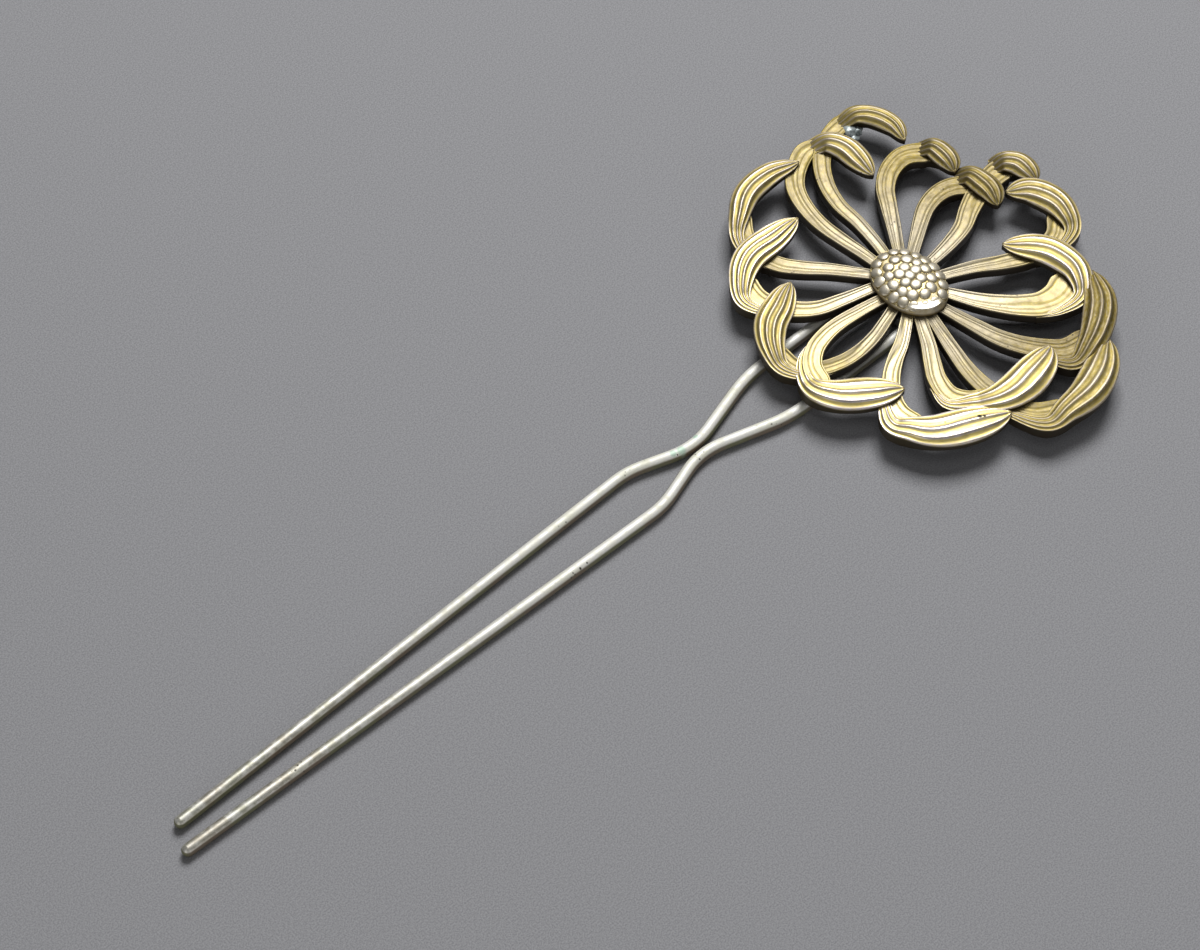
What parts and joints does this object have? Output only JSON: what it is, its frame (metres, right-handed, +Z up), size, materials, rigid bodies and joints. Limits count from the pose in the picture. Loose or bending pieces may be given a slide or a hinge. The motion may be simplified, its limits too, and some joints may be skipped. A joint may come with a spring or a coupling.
{
  "type": "kanzashi hairpin",
  "caption": "Two-prong hairpin of pinched wire with an openwork chrysanthemum head of curling ribbon petals round an oval granulated seed disc.",
  "frame": {"origin": "under the middle of the pin's box, in the plane that the wires rest on", "axes": "+X along the pin towards the flower, +Y to its left, +Z up through the flower's face"},
  "size_m": [0.1426, 0.0554, 0.0057],
  "materials": {
    "pale_wire": "satin nickel-silver wire, pale and slightly yellow, with fine scratches and a few dark specks",
    "solder": "dull grey solder and backing plate, hidden behind the flower",
    "gilded_brass": "gilded brass, golden in the grooves, worn silvery on ridges and near the disc, brown along edges",
    "worn_brass": "worn granulated brass, silvery on the granules and yellow between them"
  },
  "bodies": {
    "root": {"fork": "pale_wire", "saddle": "solder", "petals": "gilded_brass", "seed_head": "worn_brass"}
  },
  "joints": []
}
